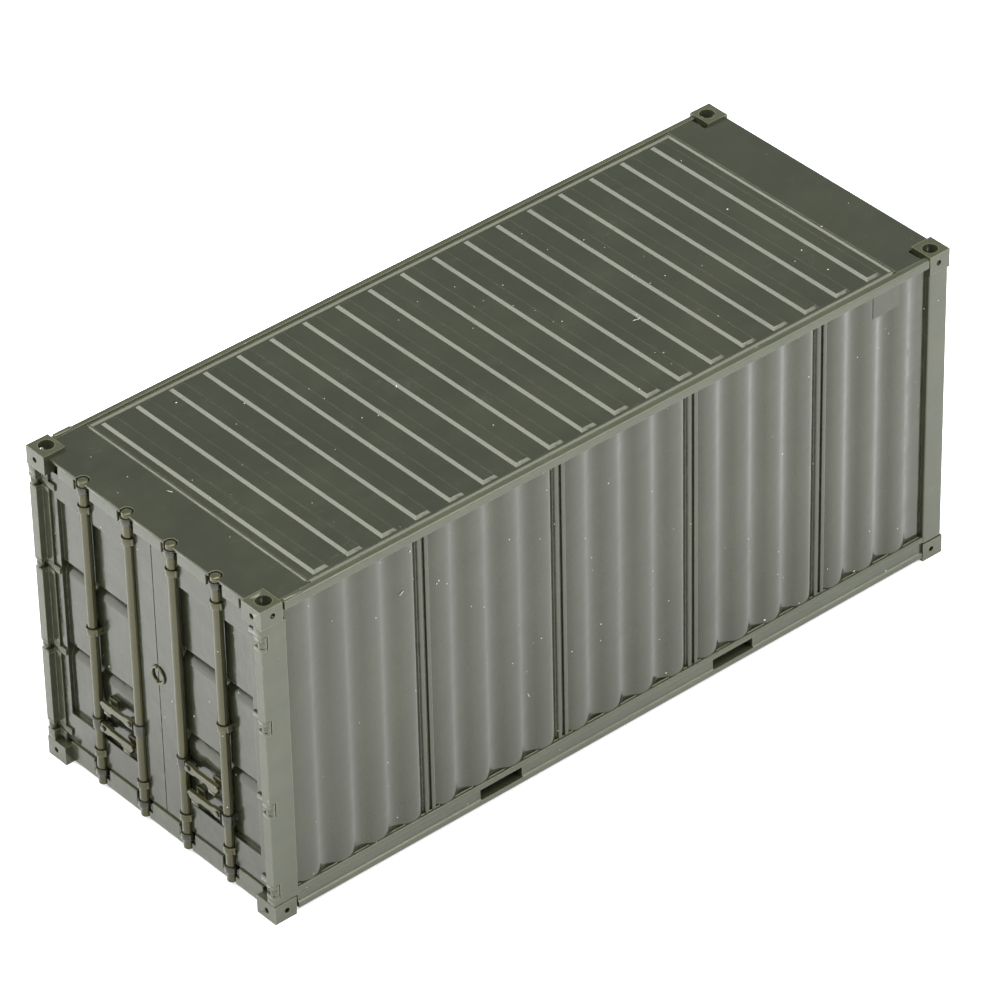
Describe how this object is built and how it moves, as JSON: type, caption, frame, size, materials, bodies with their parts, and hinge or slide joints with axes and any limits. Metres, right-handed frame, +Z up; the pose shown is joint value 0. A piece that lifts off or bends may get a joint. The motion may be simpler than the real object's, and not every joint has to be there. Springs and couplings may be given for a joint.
{
  "type": "model freight container",
  "caption": "Scale 20 ft freight container with corrugated walls, ribbed roof, corner castings, fork pockets and two hinged doors with turning lock rods and lifting handles.",
  "frame": {"origin": "centre of the rectangle under the four bottom corner castings, on the ground plane", "axes": "+X along the length towards the doors, +Y across towards the right side as seen facing the doors, +Z up"},
  "size_m": [0.0696, 0.028, 0.0298],
  "materials": {
    "shell": "glossy olive moulding",
    "fittings": "glossy olive moulding, paler where thin",
    "small_parts": "glossy dark olive moulding"
  },
  "bodies": {
    "container": {"castings_bottom": "fittings", "castings_top": "fittings", "post_front_left": "shell", "post_front_right": "shell", "post_door_left": "shell", "post_door_right": "shell", "header_front": "shell", "sill_front": "shell", "header_door": "shell", "sill_door": "shell", "rail_top_left": "shell", "rail_top_right": "shell", "rail_bottom_left": "shell", "rail_bottom_right": "shell", "side_wall_left": "shell", "side_wall_right": "shell", "front_wall": "shell", "roof_panel": "shell", "roof_plate_front": "shell", "roof_plate_door": "shell", "floor": "small_parts", "cross_members": "shell", "fork_pockets": "shell", "keepers_top": "small_parts", "keepers_bottom": "small_parts", "hinge_lugs_left": "fittings", "hinge_lugs_right": "fittings", "hinge_pins_left": "small_parts", "hinge_pins_right": "small_parts", "side_vents": "fittings", "rail_steps": "fittings"},
    "left_door": {"door_left": "shell", "hinge_blades_left": "fittings", "rod_brackets_left": "fittings", "handle_rests_left": "fittings", "seal_hasp_left": "fittings"},
    "right_door": {"door_right": "shell", "hinge_blades_right": "fittings", "rod_brackets_right": "fittings", "handle_rests_right": "fittings", "seal_hasp_right": "fittings"},
    "rod_1": {"lock_rod_1": "fittings", "cams_1": "small_parts", "handle_hub_1": "small_parts"},
    "bar_1": {"handle_1": "fittings"},
    "rod_2": {"lock_rod_2": "fittings", "cams_2": "small_parts", "handle_hub_2": "small_parts"},
    "bar_2": {"handle_2": "fittings"},
    "rod_3": {"lock_rod_3": "fittings", "cams_3": "small_parts", "handle_hub_3": "small_parts"},
    "bar_3": {"handle_3": "fittings"},
    "rod_4": {"lock_rod_4": "fittings", "cams_4": "small_parts", "handle_hub_4": "small_parts"},
    "bar_4": {"handle_4": "fittings"}
  },
  "joints": [
    {"name": "left_door_hinge", "type": "hinge", "parent": "container", "child": "left_door", "pos_m": [0.03445, -0.01364, 0.015], "axis": [0, 0, -1], "range_deg": [0, 215]},
    {"name": "right_door_hinge", "type": "hinge", "parent": "container", "child": "right_door", "pos_m": [0.03445, 0.01364, 0.015], "axis": [0, 0, 1], "range_deg": [0, 215]},
    {"name": "rod_1_turn", "type": "hinge", "parent": "left_door", "child": "rod_1", "pos_m": [0.0341, -0.00793, 0.015], "axis": [0, 0, -1], "range_deg": [0, 110]},
    {"name": "rod_2_turn", "type": "hinge", "parent": "left_door", "child": "rod_2", "pos_m": [0.0341, -0.00263, 0.015], "axis": [0, 0, 1], "range_deg": [0, 110]},
    {"name": "rod_3_turn", "type": "hinge", "parent": "right_door", "child": "rod_3", "pos_m": [0.0341, 0.00263, 0.015], "axis": [0, 0, -1], "range_deg": [0, 110]},
    {"name": "rod_4_turn", "type": "hinge", "parent": "right_door", "child": "rod_4", "pos_m": [0.0341, 0.00793, 0.015], "axis": [0, 0, 1], "range_deg": [0, 110]},
    {"name": "handle_1_lift", "type": "hinge", "parent": "rod_1", "child": "bar_1", "pos_m": [0.03429, -0.00698, 0.0064], "axis": [1, 0, 0], "range_deg": [0, 15]},
    {"name": "handle_2_lift", "type": "hinge", "parent": "rod_2", "child": "bar_2", "pos_m": [0.03429, -0.00358, 0.0088], "axis": [-1, 0, 0], "range_deg": [0, 15]},
    {"name": "handle_3_lift", "type": "hinge", "parent": "rod_3", "child": "bar_3", "pos_m": [0.03429, 0.00358, 0.0088], "axis": [1, 0, 0], "range_deg": [0, 15]},
    {"name": "handle_4_lift", "type": "hinge", "parent": "rod_4", "child": "bar_4", "pos_m": [0.03429, 0.00698, 0.0064], "axis": [-1, 0, 0], "range_deg": [0, 15]}
  ]
}
